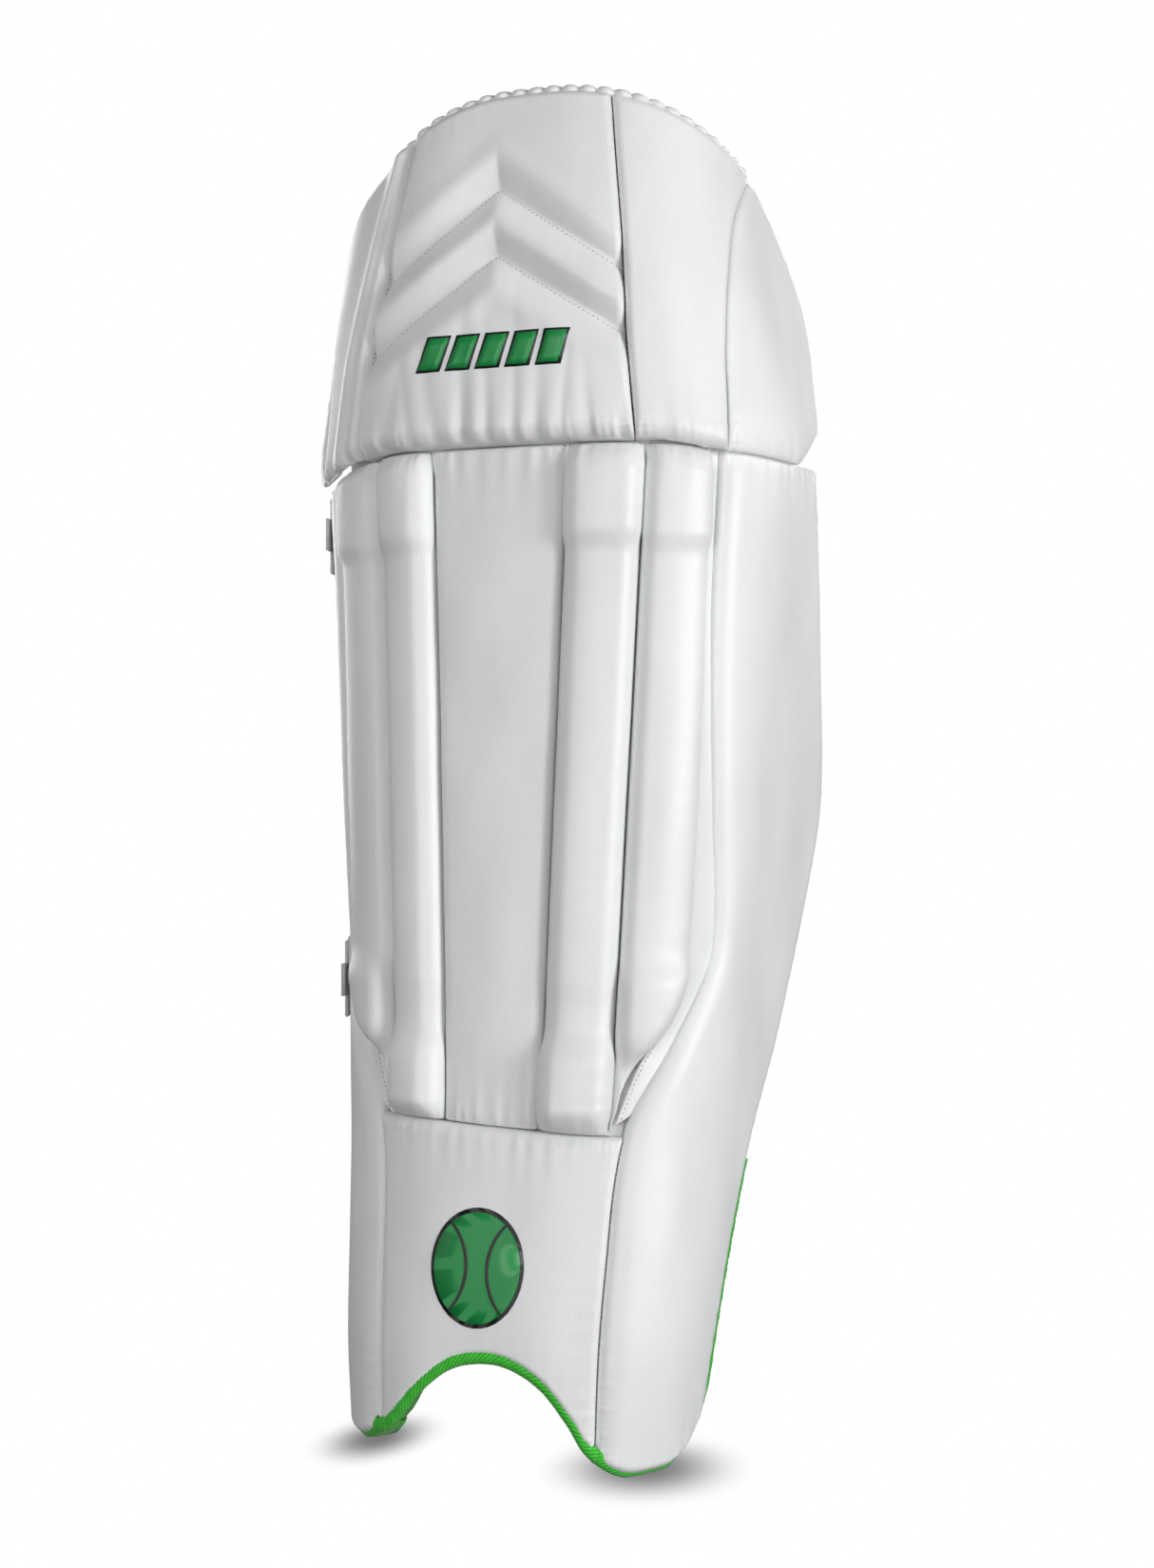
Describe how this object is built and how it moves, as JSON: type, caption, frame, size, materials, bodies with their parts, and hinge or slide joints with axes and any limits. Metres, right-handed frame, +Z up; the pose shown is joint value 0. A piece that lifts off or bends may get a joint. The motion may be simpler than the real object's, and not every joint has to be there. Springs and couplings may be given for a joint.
{
  "type": "cricket leg guard",
  "caption": "Padded cricket leg guard with a front of upright rolls, a hinged knee section, curved side wings, an arched instep with coloured edging and hook-and-loop calf straps.",
  "frame": {"origin": "on the ground plane under the middle of the guard's box, straps included", "axes": "+Z up the leg from toe to knee, -Y the way the front faces, +X towards the larger outer wing"},
  "size_m": [0.2507, 0.2089, 0.6302],
  "materials": {
    "cover": "satin white coated fabric, fine upright grain",
    "foam": "closed-cell foam",
    "stiff_board": "matte sheet",
    "lining": "matte brushed towelling",
    "binding": "woven tape",
    "badge": "printed film",
    "strap": "woven elastic",
    "hook_and_loop": "napped"
  },
  "bodies": {
    "shin": {"shin_centre_cover": "cover", "shin_centre_foam": "foam", "roll_cover_1": "cover", "roll_foam_1": "foam", "roll_cover_2": "cover", "roll_foam_2": "foam", "roll_cover_3": "cover", "roll_foam_3": "foam", "roll_cover_4": "cover", "roll_foam_4": "foam", "shin_backing": "stiff_board", "shin_lining": "lining", "shin_bolster_inner": "lining", "shin_bolster_outer": "lining", "instep_cover": "cover", "instep_foam": "foam", "instep_binding": "binding", "instep_badge": "badge"},
    "wing_outer": {"wing_outer_cover": "cover", "wing_outer_foam": "foam", "wing_outer_lining": "lining", "wing_outer_binding": "binding", "upper_strap_anchor": "strap", "lower_strap_anchor": "strap"},
    "wing_inner": {"wing_inner_cover": "cover", "wing_inner_foam": "foam", "wing_inner_lining": "lining", "wing_inner_binding": "binding", "upper_loop_patch": "hook_and_loop", "lower_loop_patch": "hook_and_loop"},
    "knee": {"knee_face_cover": "cover", "knee_top_foam": "foam", "knee_chevron_foam": "foam", "knee_lower_foam": "foam", "knee_side_cover_outer": "cover", "knee_side_foam_outer": "foam", "knee_side_cover_inner": "cover", "knee_side_foam_inner": "foam", "knee_backing": "stiff_board", "knee_lining": "lining", "knee_bolster_lower": "lining", "knee_bolster_middle": "lining", "knee_bolster_upper": "lining", "knee_top_binding": "cover", "knee_badge": "badge"},
    "knee_wing_outer": {"knee_wing_outer_cover": "cover", "knee_wing_outer_foam": "foam", "knee_wing_outer_lining": "lining"},
    "knee_wing_inner": {"knee_wing_inner_cover": "cover", "knee_wing_inner_foam": "foam", "knee_wing_inner_lining": "lining"},
    "strap_upper": {"upper_strap_band": "strap", "upper_hook_patch": "hook_and_loop", "upper_pull_tab": "strap"},
    "strap_lower": {"lower_strap_band": "strap", "lower_hook_patch": "hook_and_loop", "lower_pull_tab": "strap"}
  },
  "joints": [
    {"name": "knee_tilt", "type": "hinge", "parent": "shin", "child": "knee", "pos_m": [0.0059, -0.0768, 0.464], "axis": [-1, 0, 0], "range_deg": [0, 10], "stiffness_Nm_per_rad": 3, "springref_deg": -11.46},
    {"name": "wing_outer_flex", "type": "hinge", "parent": "shin", "child": "wing_outer", "pos_m": [0.05579, -0.09154, 0.02], "axis": [0.0963, 0.1089, 0.9894], "range_deg": [0, 6], "stiffness_Nm_per_rad": 0.6},
    {"name": "wing_inner_flex", "type": "hinge", "parent": "shin", "child": "wing_inner", "pos_m": [-0.08583, -0.04423, 0.45], "axis": [0.0963, -0.1089, -0.9894], "range_deg": [0, 6], "stiffness_Nm_per_rad": 0.6},
    {"name": "knee_wing_outer_flex", "type": "hinge", "parent": "knee", "child": "knee_wing_outer", "pos_m": [0.05579, -0.09154, 0.02], "axis": [0.0963, 0.1089, 0.9894], "range_deg": [0, 6], "stiffness_Nm_per_rad": 0.6},
    {"name": "knee_wing_inner_flex", "type": "hinge", "parent": "knee", "child": "knee_wing_inner", "pos_m": [-0.08583, -0.04423, 0.45], "axis": [0.0963, -0.1089, -0.9894], "range_deg": [0, 6], "stiffness_Nm_per_rad": 0.6},
    {"name": "strap_upper_open", "type": "hinge", "parent": "wing_outer", "child": "strap_upper", "pos_m": [0.11543, 0.04926, 0.435], "axis": [0, 0, -1], "range_deg": [0, 90]},
    {"name": "strap_lower_open", "type": "hinge", "parent": "wing_outer", "child": "strap_lower", "pos_m": [0.10078, 0.04423, 0.212], "axis": [0, 0, -1], "range_deg": [0, 90]}
  ],
  "couplings": [
    {"joint": "knee_wing_outer_flex", "follows": "wing_outer_flex", "ratio": 1},
    {"joint": "knee_wing_inner_flex", "follows": "wing_inner_flex", "ratio": 1}
  ]
}
